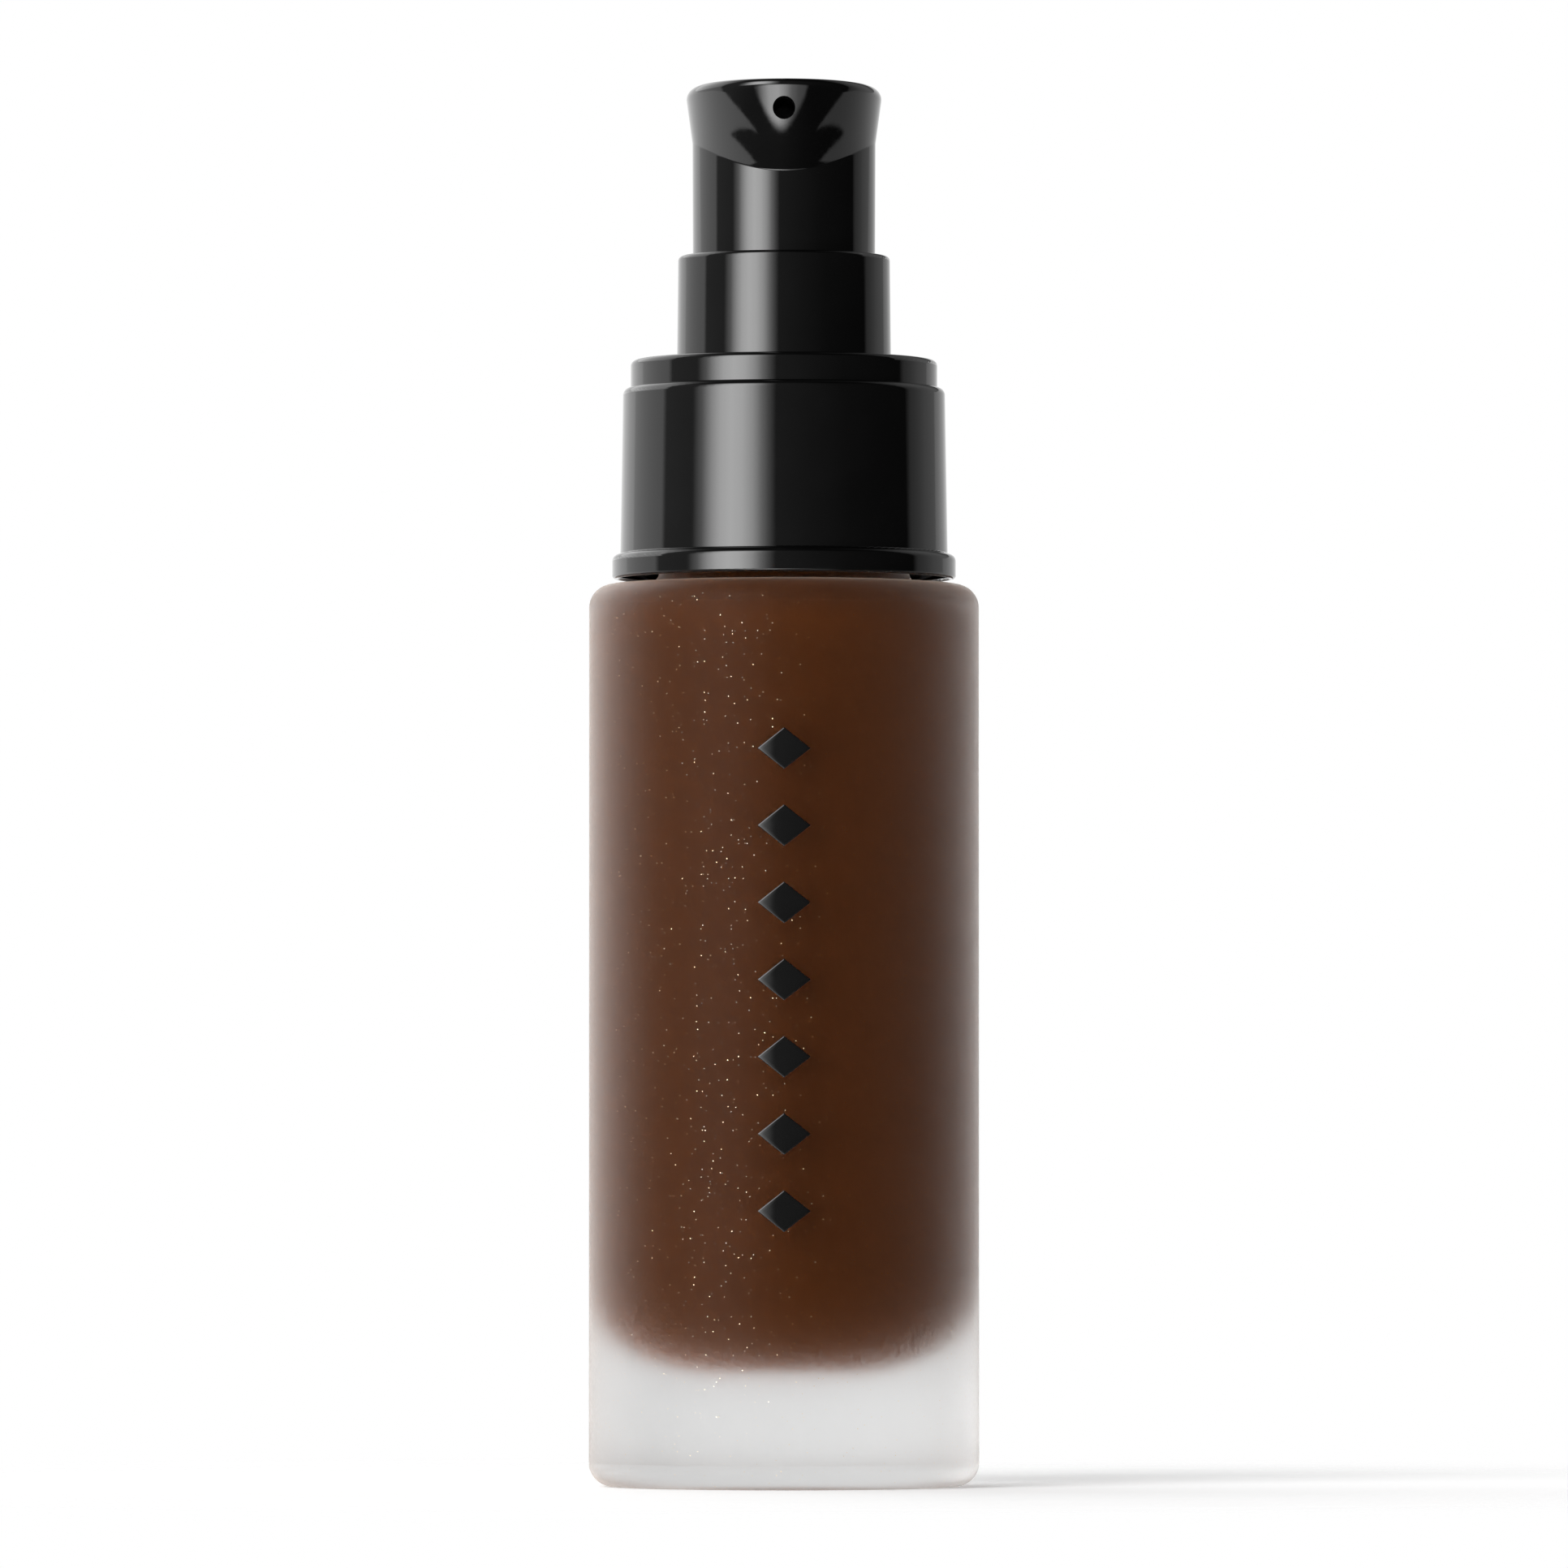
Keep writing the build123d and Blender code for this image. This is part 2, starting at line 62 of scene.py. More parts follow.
# ---- camera ------------------------------------------------------------------
CAMERA_DISTANCE = 1.166
CAMERA_HEIGHT = 0.026
CAMERA_TILT = math.radians(1.73)
CAMERA_LENS = 307

# ---- meshes: edges that bend more than this many degrees are sharp ----
SHARP_ANGLE = 35

# ---- studio: (azimuth from the camera's side, positive to its right, in degrees; radiance) ----
WALLS = (
    (-180, 0.6), (-160, 0.9), (-150, 1.1), (-97, 1.2), (-93, 0.28), (-66, 0.24), (-8, 0.19),
    (20, 0.11), (46, 0.055), (97, 0.03), (102, 0.33), (120, 0.5), (140, 0.45), (157, 0.18),
    (164, 0.06), (180, 0.6),
)
SOFTBOX = (
    (-68, 0), (-60, 0.17), (-52, 0.6), (-46, 0.87), (-38, 1), (-30, 0.91), (-22, 0.62),
    (-16, 0.28), (-11, 0.11), (-6, 0),
)
SOFTBOX_RADIANCE = 9.2
RIM_LAMP = ((-180, 0.6), (-170, 1), (-105, 1), (-92, 0))
RIM_LAMP_RADIANCE = 0.9
LOW_LAMP = (
    (-48, 0), (-42, 0.16), (-34, 0.53), (-24, 0.92), (-10, 1), (2, 0.66), (12, 0.3),
    (24, 0.17), (34, 0.13), (39, 0),
)
LOW_LAMP_RADIANCE = 7.6

FLOOR_FILL = 0.35

# ---- flakes in the glass's surface: cells per metre, and a flake's edge as shares of a cell ----
FLAKE_CELLS = 3000
FLAKE_EDGE = (0.10, 0.15)
FLAKE_METAL = 0.45
FLAKE_ROUGHNESS = 0.28
FLAKE_TILT = 0.6

# ---- inside the bottle ----
WETTING = 0.05 * MM
CAVITY_FLOOR_R = 9 * MM
CAVITY_SHOULDER_R = 2.2 * MM
CAVITY_TOP_DROP = 14.3 * MM
NECK_BORE_R = 8 * MM
NECK_BORE_ROOT_R = 0.8 * MM
# outline of the space that the pump takes in the liquid: (radius, height) in millimetres
PUMP_POCKET = (
    (4.55, 79.6), (4.55, 69.5), (3.25, 67), (3.25, 56.95), (1.65, 56.95), (1.65, 11.35), (0, 11.35),
)

# ---- return spring ----
SPRING_TURNS = 8
SPRING_WIRE_R = 0.25 * MM

# ---- printed lozenges ----
MARK_COUNT = 7
MARK_WIDTH = 4.6 * MM
MARK_HEIGHT = 3.6 * MM
MARK_BEVEL = 0.08
MARK_SUNK = 0.02 * MM

# ---- pump head: millimetres, heights from its flat top ----
HEAD_TURNS = 256
SKIRT_LOW_Z = (button_low.z - button_high.z) / MM
CREASE_SIDE_Z = SKIRT_LOW_Z + 16.55
HEAD_R = 8.0
HEAD_WALL = 1.1
CREASE_DROP = 2.9
CREASE_FILLET = 0.1
FLARE_SIDE = 0.138
FLARE_FRONT = 0.46
FLARE_BULGE = 0.122
RIM_SIDE_R = 1.0
RIM_FRONT_R = 0.43
DISH = 0.4
DISH_R = 6.6
SKIRT_R = 7.94
SKIRT_BORE_R = 7.1
SKIRT_EDGE = 0.3
SPOUT_END = 8.3
NOZZLE_BELOW_TOP = 2.5
NOZZLE_R = 0.975


class Value:
    """A number in a node tree that builds Math nodes when it is added, multiplied and so on."""

    def __init__(self, tree, socket):
        self.tree = tree
        self.socket = socket

    def math(self, operation, *others):
        node = self.tree.nodes.new("ShaderNodeMath")
        node.operation = operation
        for socket, item in zip(node.inputs, (self, *others)):
            if isinstance(item, Value):
                self.tree.links.new(item.socket, socket)
            else:
                socket.default_value = item
        return Value(self.tree, node.outputs[0])

    def __add__(self, other):
        return self.math("ADD", other)

    def __sub__(self, other):
        return self.math("SUBTRACT", other)

    def __mul__(self, other):
        return self.math("MULTIPLY", other)

    def step(self, low, high, start=0.0, end=1.0):
        """Smooth change from start to end as the value goes from low to high."""
        node = self.tree.nodes.new("ShaderNodeMapRange")
        node.interpolation_type = "SMOOTHSTEP"
        self.tree.links.new(self.socket, node.inputs["Value"])
        node.inputs["From Min"].default_value = low
        node.inputs["From Max"].default_value = high
        node.inputs["To Min"].default_value = start
        node.inputs["To Max"].default_value = end
        return Value(self.tree, node.outputs[0])

    def ramp(self, stops):
        """Piecewise linear function of an angle in degrees, from (angle, value) stops."""
        turn = self * (1 / 360) + 0.5
        node = self.tree.nodes.new("ShaderNodeValToRGB")
        self.tree.links.new(turn.socket, node.inputs[0])
        elements = node.color_ramp.elements
        while len(elements) < len(stops):
            elements.new(0.5)
        for element, (angle, value) in zip(elements, stops):
            element.position = angle / 360 + 0.5
            element.color = (value, value, value, 1)
        return Value(self.tree, node.outputs[0])

    def blend(self, low, high):
        """Colour going from low to high as the value goes from 0 to 1."""
        node = self.tree.nodes.new("ShaderNodeMix")
        node.data_type = "RGBA"
        self.tree.links.new(self.socket, node.inputs["Factor"])
        node.inputs[6].default_value = (*low, 1)
        node.inputs[7].default_value = (*high, 1)
        return node.outputs[2]


def coordinates(tree, kind):
    """The three numbers of a texture coordinate."""
    where = tree.nodes.new("ShaderNodeTexCoord")
    parts = tree.nodes.new("ShaderNodeSeparateXYZ")
    tree.links.new(where.outputs[kind], parts.inputs[0])
    return [Value(tree, socket) for socket in parts.outputs]


def table_mask(x, azimuth, height):
    """Pale table below the black front card; the card's foot has a notch at each side."""
    side = (azimuth - 5).math("ABSOLUTE")
    level = height - x * 2.7
    card_foot = side * 0.54 - 69.0
    notch_top = side * 0.37 - 59.6
    notch_foot = side * 0.6 - 82.0
    under_card = (card_foot - level).step(-0.5, 0.5)
    notch = (notch_top - level).step(-0.5, 0.5) * (level - notch_foot).step(-0.5, 0.5)
    return under_card * (notch * -1 + 1)


def studio_glow(x, y, z):
    """Radiance of the product studio: softbox at the left, low lamp and black card in front."""
    azimuth = x.math("ARCTAN2", y * -1) * math.degrees(1)
    height = z.math("ARCSINE") * math.degrees(1)
    softbox = azimuth.ramp(SOFTBOX) * SOFTBOX_RADIANCE * height.step(-20, -8) * height.step(30, 58, 1, 0)
    walls = azimuth.ramp(WALLS) * height.step(35, 65, 1, 0.15) * height.step(-35, -15, 0.5, 1)
    rim_lamp = azimuth.ramp(RIM_LAMP) * RIM_LAMP_RADIANCE * height.step(8, 14) * height.step(40, 60, 1, 0)
    bowl = (azimuth + 3) * (azimuth + 3) * 0.0075 - 46.5
    low_lamp = azimuth.ramp(LOW_LAMP) * LOW_LAMP_RADIANCE
    low_lamp = low_lamp * (height - bowl).step(-1, 3) * height.step(-30, -24, 1, 0)
    table_side = table_mask(x, azimuth, height)
    table = (x * -0.55 + 1.05) * table_side
    return table + (walls + rim_lamp + softbox + low_lamp) * (table_side * -1 + 1)


def make_world():
    """White to the camera, a pale backdrop through the glass, the studio for everything else."""
    world = bpy.data.worlds.new("studio")
    world.use_nodes = True
    tree = world.node_tree
    tree.nodes.clear()
    x, y, z = coordinates(tree, "Generated")
    glow = studio_glow(x, y, z)
    path = tree.nodes.new("ShaderNodeLightPath")
    camera = Value(tree, path.outputs["Is Camera Ray"])
    through = Value(tree, path.outputs["Is Transmission Ray"])
    behind = through * (y + x.math("ABSOLUTE") * 0.35).step(0.0, 0.6)
    backdrop = x.step(0.45, 0.9, 0.0, 0.3) + x.step(-0.9, -0.5, 0.3, 0.68)
    radiance = glow + (backdrop - glow) * behind + (glow * -1 + 1) * camera
    light = tree.nodes.new("ShaderNodeBackground")
    light.inputs["Color"].default_value = (1, 1, 1, 1)
    tree.links.new(radiance.socket, light.inputs["Strength"])
    out = tree.nodes.new("ShaderNodeOutputWorld")
    tree.links.new(light.outputs[0], out.inputs[0])
    bpy.context.scene.world = world


def make_camera():
    data = bpy.data.cameras.new("camera")
    data.lens = CAMERA_LENS
    data.sensor_width = 36
    data.clip_end = 50
    camera = bpy.data.objects.new("camera", data)
    bpy.context.scene.collection.objects.link(camera)
    camera.location = (0, -CAMERA_DISTANCE, CAMERA_HEIGHT)
    camera.rotation_euler = (math.pi / 2 + CAMERA_TILT, 0, 0)
    bpy.context.scene.camera = camera


# ---- materials ---------------------------------------------------------------
def new_material(name):
    material = bpy.data.materials.new(name)
    material.use_nodes = True
    tree = material.node_tree
    return material, tree, tree.nodes["Principled BSDF"]


def noise(tree, scale, detail=2.0, rough=0.5):
    where = tree.nodes.new("ShaderNodeTexCoord")
    texture = tree.nodes.new("ShaderNodeTexNoise")
    tree.links.new(where.outputs["Object"], texture.inputs["Vector"])
    texture.inputs["Scale"].default_value = scale
    texture.inputs["Detail"].default_value = detail
    texture.inputs["Roughness"].default_value = rough
    return Value(tree, texture.outputs["Fac"])


def bump(tree, shader, value, depth, strength=1.0):
    node = tree.nodes.new("ShaderNodeBump")
    node.inputs["Distance"].default_value = depth
    node.inputs["Strength"].default_value = strength
    tree.links.new(value.socket, node.inputs["Height"])
    tree.links.new(node.outputs[0], shader.inputs["Normal"])


def moulded(name, colours, roughness, grain=2500, depth=0.000002):
    """Moulded plastic: cloudy colour, uneven gloss and a fine grain."""
    material, tree, shader = new_material(name)
    cloud = noise(tree, 220, 3).step(0.3, 0.7)
    tree.links.new(cloud.blend(*colours), shader.inputs["Base Color"])
    value = noise(tree, grain)
    tree.links.new(value.step(0.3, 0.7, *roughness).socket, shader.inputs["Roughness"])
    bump(tree, shader, value, depth, 0.3)
    return material


def flecks(tree):
    """Mask of tiny flakes, most of them faint, with a random vector for each flake."""
    where = tree.nodes.new("ShaderNodeTexCoord")
    cells = tree.nodes.new("ShaderNodeTexVoronoi")
    cells.inputs["Scale"].default_value = FLAKE_CELLS
    tree.links.new(where.outputs["Object"], cells.inputs["Vector"])
    parts = tree.nodes.new("ShaderNodeSeparateColor")
    tree.links.new(cells.outputs["Color"], parts.inputs[0])
    strength = Value(tree, parts.outputs[2]).step(0.55, 1.0, 0.05, 1.0)
    flake = Value(tree, cells.outputs["Distance"]).step(*FLAKE_EDGE, 1, 0)
    return flake * strength, cells.outputs["Color"]


def tilt(tree, shader, mask, colour, amount):
    """Turn the surface's normal at random where the mask is 1."""
    centred = tree.nodes.new("ShaderNodeVectorMath")
    centred.operation = "SUBTRACT"
    tree.links.new(colour, centred.inputs[0])
    centred.inputs[1].default_value = (0.5, 0.5, 0.5)
    turned = tree.nodes.new("ShaderNodeVectorMath")
    turned.operation = "SCALE"
    tree.links.new(centred.outputs[0], turned.inputs[0])
    tree.links.new((mask * amount).socket, turned.inputs["Scale"])
    facing = tree.nodes.new("ShaderNodeNewGeometry")
    total = tree.nodes.new("ShaderNodeVectorMath")
    total.operation = "ADD"
    tree.links.new(facing.outputs["Normal"], total.inputs[0])
    tree.links.new(turned.outputs[0], total.inputs[1])
    unit = tree.nodes.new("ShaderNodeVectorMath")
    unit.operation = "NORMALIZE"
    tree.links.new(total.outputs[0], unit.inputs[0])
    tree.links.new(unit.outputs[0], shader.inputs["Normal"])


def frosted_glass():
    """Satin glass with sparse pale-gold flakes in its surface."""
    material, tree, shader = new_material("frosted_glass")
    mask, colour = flecks(tree)
    tree.links.new(mask.blend((0.98, 0.985, 0.985), (1.0, 0.78, 0.45)), shader.inputs["Base Color"])
    tree.links.new((mask * FLAKE_METAL).socket, shader.inputs["Metallic"])
    shader.inputs["Transmission Weight"].default_value = 1
    shader.inputs["IOR"].default_value = 1.5
    shader.inputs["Specular Tint"].default_value = (0.05, 0.05, 0.05, 1)
    shader.inputs["Sheen Weight"].default_value = 0.3
    shader.inputs["Sheen Tint"].default_value = (1.0, 0.8, 0.66, 1)
    shader.inputs["Sheen Roughness"].default_value = 0.4
    satin = noise(tree, 3000).step(0.3, 0.7, 0.36, 0.46)
    rough = satin + (satin * -1 + FLAKE_ROUGHNESS) * mask
    tree.links.new(rough.socket, shader.inputs["Roughness"])
    tilt(tree, shader, mask, colour, FLAKE_TILT)
    return material


def foundation():
    material, tree, shader = new_material("foundation")
    cloud = noise(tree, 90, 3).step(0.3, 0.7)
    brown = cloud.blend((0.058, 0.0158, 0.0026), (0.062, 0.0170, 0.0030))
    tree.links.new(brown, shader.inputs["Base Color"])
    value = noise(tree, 400)
    tree.links.new(value.step(0.3, 0.7, 0.5, 0.6).socket, shader.inputs["Roughness"])
    bump(tree, shader, value, 0.000002, 0.2)
    shader.inputs["Specular IOR Level"].default_value = 0
    shader.inputs["Sheen Weight"].default_value = 0.6
    shader.inputs["Sheen Roughness"].default_value = 0.5
    shader.inputs["Sheen Tint"].default_value = (1.0, 0.4, 0.2, 1)
    return material


def spring_steel():
    """Drawn wire: bright, with fine streaks."""
    material, tree, shader = new_material("spring_steel")
    streak = noise(tree, 1800, 4)
    tree.links.new(streak.blend((0.5, 0.51, 0.53), (0.68, 0.68, 0.69)), shader.inputs["Base Color"])
    shader.inputs["Metallic"].default_value = 1
    tree.links.new(streak.step(0.3, 0.7, 0.16, 0.32).socket, shader.inputs["Roughness"])
    bump(tree, shader, streak, 0.000003, 0.4)
    return material


def grey(value):
    return (value, value, value)


MATERIALS = {
    "frosted_glass": frosted_glass(),
    "foundation": foundation(),
    "black_foil": moulded("black_foil", (grey(0.0016), grey(0.0024)), (0.06, 0.1), 900, 0.000001),
    "black_gloss": moulded("black_gloss", (grey(0.0013), grey(0.0018)), (0.035, 0.06)),
    "inner_black_plastic": moulded("inner_black_plastic", (grey(0.003), grey(0.005)), (0.3, 0.42)),
    "natural_plastic": moulded("natural_plastic", ((0.7, 0.7, 0.66), (0.78, 0.78, 0.74)), (0.3, 0.42)),
    "clear_tube": moulded("clear_tube", ((0.76, 0.79, 0.77), (0.82, 0.84, 0.82)), (0.2, 0.3)),
    "soft_seal": moulded(
        "soft_seal", ((0.64, 0.64, 0.62), (0.72, 0.72, 0.70)), (0.5, 0.62), 1600, 0.000004
    ),
    "spring_steel": spring_steel(),
}
SLOTS = {part["node"]: part["material_slot"] for part in frame["record"]["subparts"]}


# ---- meshes ------------------------------------------------------------------
def add_piece(name, build):
    """Turn a bmesh into a smooth-shaded object with sharp edges where it bends strongly."""
    mesh = bpy.data.meshes.new(name)
    bmesh.ops.recalc_face_normals(build, faces=build.faces)
    build.to_mesh(mesh)
    build.free()
    mesh.shade_smooth()
    mesh.set_sharp_from_angle(angle=math.radians(SHARP_ANGLE))
    piece = bpy.data.objects.new(name, mesh)
    bpy.context.scene.collection.objects.link(piece)
    return piece


def rings_to_faces(build, rings):
    """Skin rings of equal length; a ring with one point closes an end."""
    count = max(len(line) for line in rings)
    verts = [[build.verts.new(point) for point in line] for line in rings]
    for low, high in zip(verts, verts[1:]):
        for i in range(count):
            j = (i + 1) % count
            corners = [low[i % len(low)], low[j % len(low)], high[j % len(high)], high[i % len(high)]]
            build.faces.new(list(dict.fromkeys(corners)))


def turned_points(radius, height, segments):
    """Points round the axis, the first in front; one point when the radius is 0."""
    if radius == 0:
        return [(0, 0, height)]
    turns = [2 * math.pi * i / segments for i in range(segments)]
    return [(radius * math.sin(t), -radius * math.cos(t), height) for t in turns]


def lathe(name, profile, segments=256):
    """Closed solid of revolution from (radius, height) points that start and end on the axis."""
    build = bmesh.new()
    rings_to_faces(build, [turned_points(radius, height, segments) for radius, height in profile])
    return add_piece(name, build)


def spread(start, end, steps):
    """Evenly spaced values, both ends included."""
    return [start + (end - start) * i / steps for i in range(steps + 1)]


def arc(centre, radius, start, end, steps=12):
    """Points round a centre from one angle to another, in degrees from +r."""
    angles = [math.radians(a) for a in spread(start, end, steps)]
    return [(centre[0] + radius * math.cos(a), centre[1] + radius * math.sin(a)) for a in angles]


def dress(piece, node, body):
    """Give a piece its CAD node's slot and material, and let it stand in for the node."""
    piece.data.materials.clear()
    piece.data.materials.append(MATERIALS[SLOTS[node]])
    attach(piece, body)
    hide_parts(node)


def make_filling():
    """The liquid, drawn a hair into the glass so that it wets it, without a film of air."""
    wall = fill_high.x + WETTING
    floor = fill_low.z - WETTING
    shoulder = glass_high.z - CAVITY_TOP_DROP + WETTING
    neck = NECK_BORE_R + WETTING
    profile = [(0, floor)]
    profile += arc((wall - CAVITY_FLOOR_R, floor + CAVITY_FLOOR_R), CAVITY_FLOOR_R, -90, 0, 24)
    profile += arc((wall - CAVITY_SHOULDER_R, shoulder - CAVITY_SHOULDER_R), CAVITY_SHOULDER_R, 0, 90)
    profile += [(neck + NECK_BORE_ROOT_R, shoulder), (neck, shoulder + NECK_BORE_ROOT_R)]
    profile += [(neck, fill_high.z)]
    profile += [(radius * MM, height * MM) for radius, height in PUMP_POCKET]
    dress(lathe("foundation_filling", profile), "foundation_liquid", "bottle")


def lozenge_grid(build, z, lift):
    """Grid of points over one lozenge, bent round the glass; lift gives the height above it."""
    edge = [0, 0.15 * MARK_BEVEL, 0.4 * MARK_BEVEL, 0.7 * MARK_BEVEL, MARK_BEVEL]
    knots = [e - 1 for e in edge] + [i / 4 for i in range(-3, 4)] + [1 - e for e in reversed(edge)]
    glass_r = glass_high.x
    rows = []
    for a in knots:
        row = []
        for b in knots:
            turn = MARK_WIDTH / 4 * (a - b) / glass_r
            radius = glass_r + lift(a, b)
            height = z + MARK_HEIGHT / 4 * (a + b)
            row.append(build.verts.new((radius * math.sin(turn), -radius * math.cos(turn), height)))
        rows.append(row)
    return rows


def add_lozenge(build, z, foil):
    """One closed lozenge of foil with a rolled edge, its foot just inside the glass."""
    def rolled(a, b):
        inner = min((1 - max(abs(a), abs(b))) / MARK_BEVEL, 1)
        return foil * math.sqrt(1 - (1 - inner) ** 2)

    top = lozenge_grid(build, z, rolled)
    foot = lozenge_grid(build, z, lambda a, b: -MARK_SUNK)
    last = len(top) - 1
    for i in range(last):
        for j in range(last):
            build.faces.new((top[i][j], top[i + 1][j], top[i + 1][j + 1], top[i][j + 1]))
            build.faces.new((foot[i][j], foot[i][j + 1], foot[i + 1][j + 1], foot[i + 1][j]))
    border = [(i, 0) for i in range(last)] + [(last, j) for j in range(last)]
    border += [(i, last) for i in range(last, 0, -1)] + [(0, j) for j in range(last, 0, -1)]
    for (i, j), (k, m) in zip(border, border[1:] + border[:1]):
        build.faces.new((top[i][j], foot[i][j], foot[k][m], top[k][m]))


def make_marks():
    """Column of plain lozenges of black foil on the front of the glass."""
    low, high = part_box("front_foil_marks")
    foil = -low.y - glass_high.x
    build = bmesh.new()
    for z in spread(low.z + MARK_HEIGHT / 2, high.z - MARK_HEIGHT / 2, MARK_COUNT - 1):
        add_lozenge(build, z, foil)
    dress(add_piece("foil_lozenges", build), "front_foil_marks", "bottle")


def wire_ring(share, low_z, length, radius):
    """Circle round the spring's wire, and its centre, at a share of the way up."""
    turn = 2 * math.pi * SPRING_TURNS * share
    outward = Vector((math.cos(turn), math.sin(turn), 0))
    centre = radius * outward + Vector((0, 0, low_z + length * share))
    rise = length / (2 * math.pi * SPRING_TURNS)
    along = Vector((-radius * math.sin(turn), radius * math.cos(turn), rise)).normalized()
    side = along.cross(outward)
    angles = [2 * math.pi * i / 12 for i in range(12)]
    return [centre + SPRING_WIRE_R * (math.cos(a) * outward + math.sin(a) * side) for a in angles], centre


def make_spring():
    """Return spring: a wire wound in a helix, in one rigid piece that does not shorten."""
    low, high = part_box("main_spring")
    height = high.z - low.z
    coil = (low.z + SPRING_WIRE_R, height - 2 * SPRING_WIRE_R, high.x - SPRING_WIRE_R)
    wire = [wire_ring(share, *coil) for share in spread(0, 1, SPRING_TURNS * 36)]
    rings = [[wire[0][1]]] + [ring for ring, centre in wire] + [[wire[-1][1]]]
    build = bmesh.new()
    rings_to_faces(build, rings)
    piece = add_piece("return_spring", build)
    dress(piece, "main_spring", "pump")
    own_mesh(piece)


def head_crease(front):
    return CREASE_SIDE_Z - CREASE_DROP * front


def head_lean(front):
    return FLARE_SIDE + (FLARE_FRONT - FLARE_SIDE) * front


def flare_radius(front, z):
    """Outside of the head, bulging a little in front between the crease and the rim."""
    crease = head_crease(front)
    bulge = FLARE_BULGE * front
    rise = z - crease
    return HEAD_R + (head_lean(front) + bulge) * rise + bulge * rise**2 / crease


def hollow_radius(turn, front, z):
    """Inside of the head, flat in front where the spout ends."""
    radius = HEAD_R - HEAD_WALL + head_lean(front) * (z - head_crease(front))
    if math.cos(turn) > 0.1:
        radius = min(radius, SPOUT_END / math.cos(turn))
    return radius


def inside_outline(turn, front):
    """From the middle of the ceiling, down the hollow and the bore, to the skirt's foot."""
    ceiling = -HEAD_WALL
    roof = hollow_radius(turn, front, ceiling)
    points = [(0, ceiling), (0.5 * roof, ceiling), (roof, ceiling)]
    points += [(hollow_radius(turn, front, z), z) for z in spread(ceiling, CREASE_SIDE_Z, 6)[1:]]
    low = CREASE_SIDE_Z - CREASE_DROP
    points += [
        (max(SKIRT_BORE_R, hollow_radius(turn, front, z)), z) for z in spread(CREASE_SIDE_Z, low, 6)
    ]
    return points + [(SKIRT_BORE_R, low - 1), (SKIRT_BORE_R, SKIRT_LOW_Z)]


def skirt_outline(front):
    """Rounded foot, tapered skirt and the small fillet in the crease."""
    crease = head_crease(front)
    lean = head_lean(front) + FLARE_BULGE * front
    points = arc((SKIRT_R - SKIRT_EDGE, SKIRT_LOW_Z + SKIRT_EDGE), SKIRT_EDGE, -90, 0, 6)
    for t in spread(0, 1, 6):
        points.append((HEAD_R + lean * CREASE_FILLET * t**2, crease + CREASE_FILLET * (2 * t - 1)))
    return points


def flare_outline(front):
    """Flare and the rounded rim, sharper in front than at the sides."""
    rim = RIM_SIDE_R + (RIM_FRONT_R - RIM_SIDE_R) * front
    slope = head_lean(front) - FLARE_BULGE * front
    stretch = math.hypot(1, slope)
    rim_low = -rim * (1 + slope / stretch)
    levels = spread(head_crease(front) + CREASE_FILLET, rim_low, 20)[1:]
    points = [(flare_radius(front, z), z) for z in levels]
    centre_r = flare_radius(front, rim_low) - rim / stretch
    start = -math.degrees(math.atan(slope))
    return points + arc((centre_r, -rim), rim, start, 90, 12)[1:]


def dish_outline():
    """Shallow finger dish, part of a ball, from its edge to the middle."""
    ball = (DISH_R**2 + DISH**2) / (2 * DISH)
    radii = spread(DISH_R, 0, 8)[:-1]
    return [(r, ball - DISH - math.sqrt(ball**2 - r**2)) for r in radii] + [(0, -DISH)]


def head_meridian(turn):
    """Outline of the button in one half-plane, in millimetres from the head's flat top."""
    front = max(math.cos(turn), 0) ** 2
    return inside_outline(turn, front) + skirt_outline(front) + flare_outline(front) + dish_outline()


def nozzle_drill():
    """Round bar that cuts the nozzle hole from the front to the spout's end."""
    z = button_high.z - NOZZLE_BELOW_TOP * MM
    radius = NOZZLE_R * MM
    front = -2.5 * HEAD_R * MM
    back = (0.5 - SPOUT_END) * MM
    angles = [2 * math.pi * i / 64 for i in range(64)]
    rings = [[(0, front, z)]]
    rings += [[(radius * math.sin(a), y, z + radius * math.cos(a)) for a in angles] for y in (front, back)]
    rings.append([(0, back, z)])
    build = bmesh.new()
    rings_to_faces(build, rings)
    return add_piece("nozzle_drill", build)


def cut_away(piece, cutter):
    """Take the cutter's volume out of a piece, and remove the cutter."""
    hole = piece.modifiers.new("hole", "BOOLEAN")
    hole.operation = "DIFFERENCE"
    hole.solver = "EXACT"
    hole.object = cutter
    result = piece.evaluated_get(bpy.context.evaluated_depsgraph_get())
    mesh = bpy.data.meshes.new_from_object(result)
    piece.modifiers.clear()
    piece.data = mesh
    mesh.set_sharp_from_angle(angle=math.radians(SHARP_ANGLE))
    bpy.data.objects.remove(cutter)


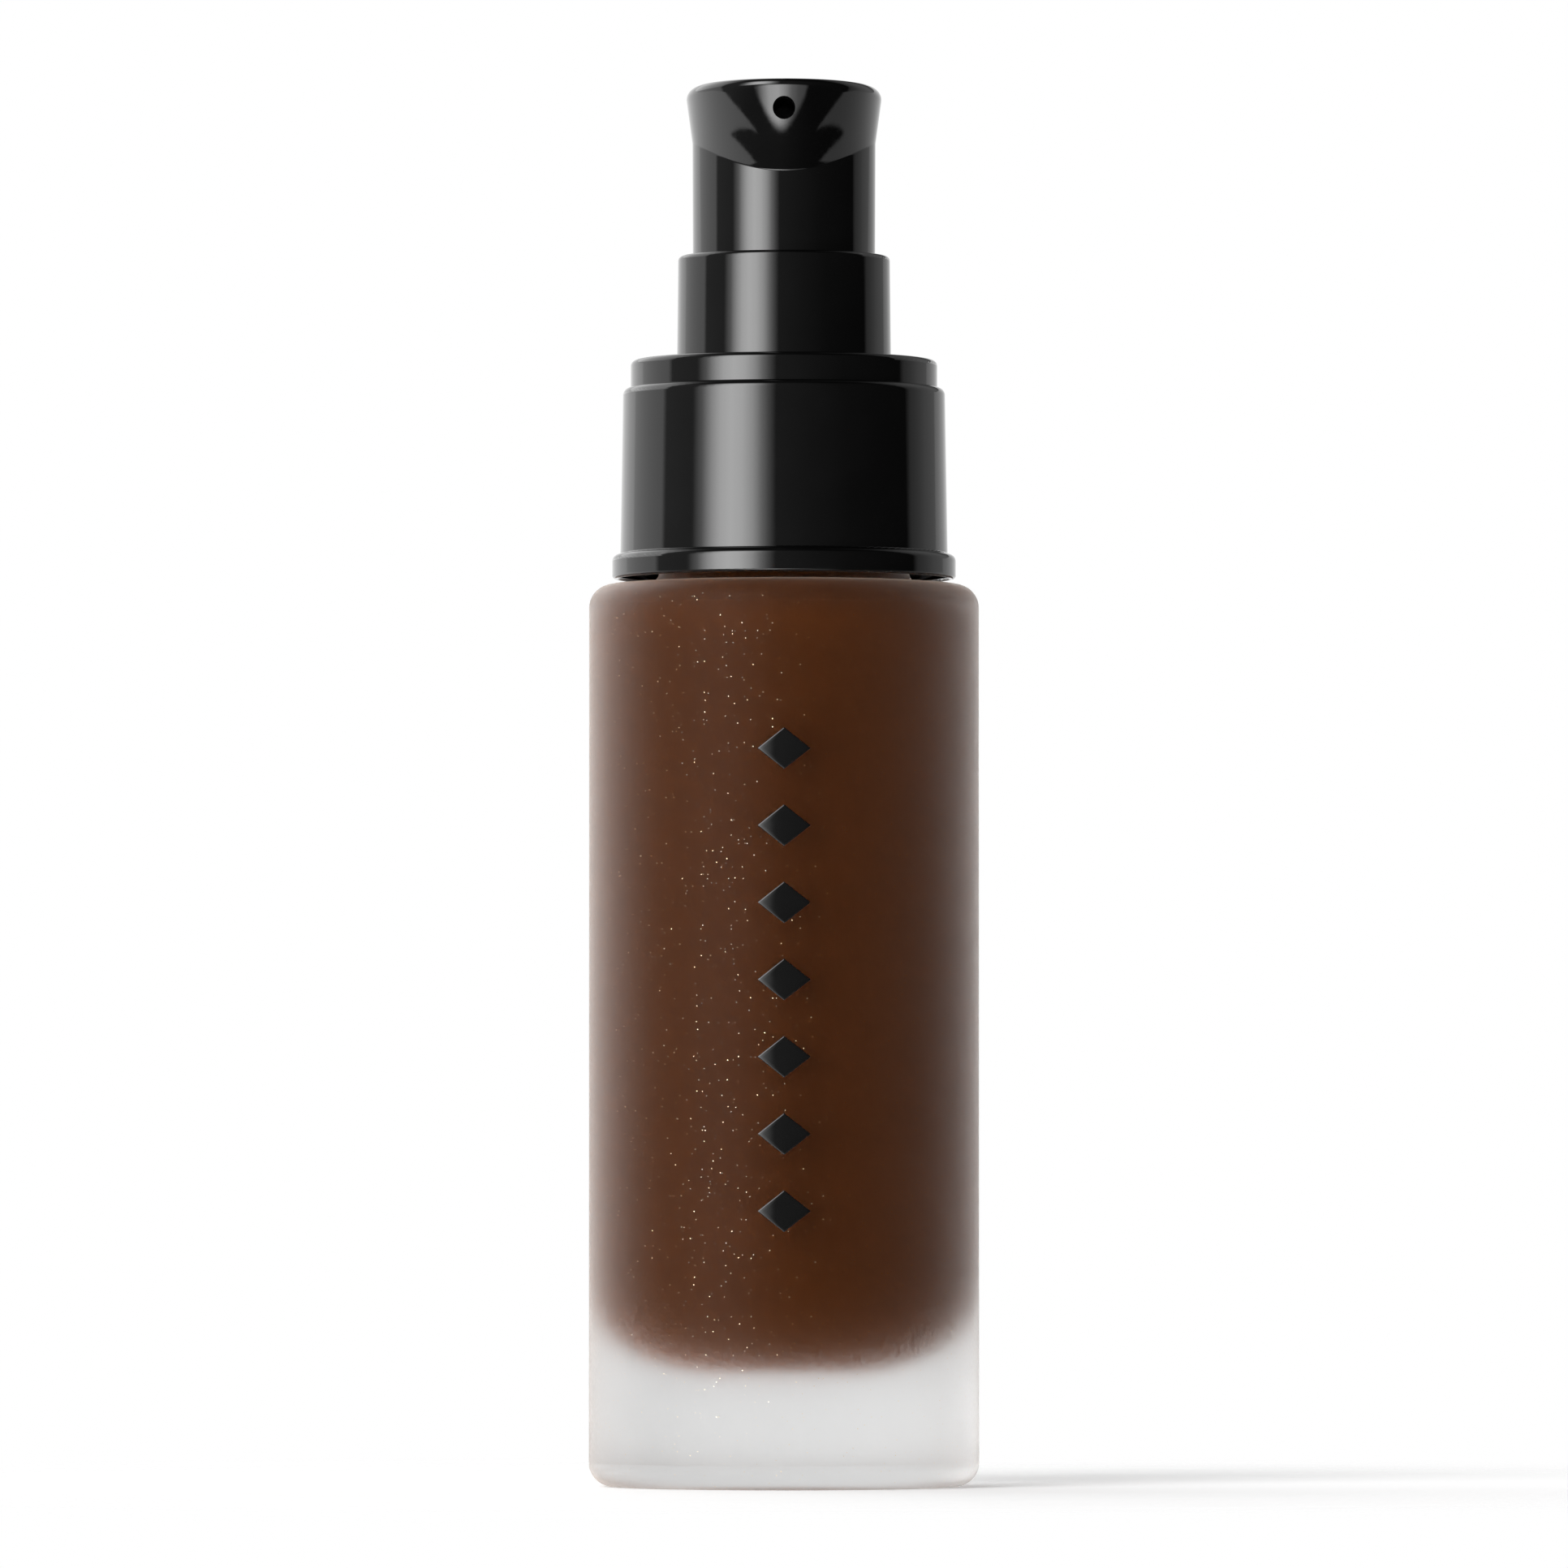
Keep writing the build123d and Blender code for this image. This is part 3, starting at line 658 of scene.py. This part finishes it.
def make_button():
    """Pump button: skirt, crease, flare bulging towards the nozzle, soft rim, finger dish, nozzle hole."""
    turns = [2 * math.pi * i / HEAD_TURNS for i in range(HEAD_TURNS)]
    outlines = [head_meridian(turn) for turn in turns]
    rings = []
    for level in zip(*outlines):
        ring = [
            (radius * MM * math.sin(turn), -radius * MM * math.cos(turn), button_high.z + z * MM)
            for turn, (radius, z) in zip(turns, level)
        ]
        rings.append(ring[:1] if level[0][0] == 0 else ring)
    build = bmesh.new()
    rings_to_faces(build, rings)
    piece = add_piece("pump_button", build)
    cut_away(piece, nozzle_drill())
    dress(piece, "actuator_shell", "button")


# ---- floor -------------------------------------------------------------------
def floor_material():
    """Pale paper near the bottle, fading out into the white around it."""
    material = bpy.data.materials.new("floor")
    material.use_nodes = True
    tree = material.node_tree
    tree.nodes.clear()
    where = tree.nodes.new("ShaderNodeNewGeometry")
    length = tree.nodes.new("ShaderNodeVectorMath")
    length.operation = "LENGTH"
    tree.links.new(where.outputs["Position"], length.inputs[0])
    fade = Value(tree, length.outputs["Value"]).step(0.03, 0.13)
    paper = tree.nodes.new("ShaderNodeBsdfDiffuse")
    paper.inputs[0].default_value = (0.85, 0.85, 0.85, 1)
    fill = tree.nodes.new("ShaderNodeEmission")
    fill.inputs["Strength"].default_value = FLOOR_FILL
    lit = tree.nodes.new("ShaderNodeAddShader")
    tree.links.new(paper.outputs[0], lit.inputs[0])
    tree.links.new(fill.outputs[0], lit.inputs[1])
    clear = tree.nodes.new("ShaderNodeBsdfTransparent")
    mix = tree.nodes.new("ShaderNodeMixShader")
    tree.links.new(fade.socket, mix.inputs[0])
    tree.links.new(lit.outputs[0], mix.inputs[1])
    tree.links.new(clear.outputs[0], mix.inputs[2])
    out = tree.nodes.new("ShaderNodeOutputMaterial")
    tree.links.new(mix.outputs[0], out.inputs[0])
    return material


def make_floor():
    size = 3.0
    corners = [(-size, -size, 0), (size, -size, 0), (size, size, 0), (-size, size, 0)]
    mesh = bpy.data.meshes.new("floor")
    mesh.from_pydata(corners, [], [(0, 1, 2, 3)])
    mesh.materials.append(floor_material())
    floor = bpy.data.objects.new("floor", mesh)
    bpy.context.scene.collection.objects.link(floor)
    floor.visible_glossy = False


def dress_nodes():
    """Give every CAD node the material of its slot."""
    for node, slot in SLOTS.items():
        mesh = frame["nodes"][node].data
        mesh.materials.clear()
        mesh.materials.append(MATERIALS[slot])


make_world()
make_camera()
make_floor()
dress_nodes()
make_filling()
make_marks()
make_spring()
make_button()

bpy.context.scene.view_settings.view_transform = "Standard"
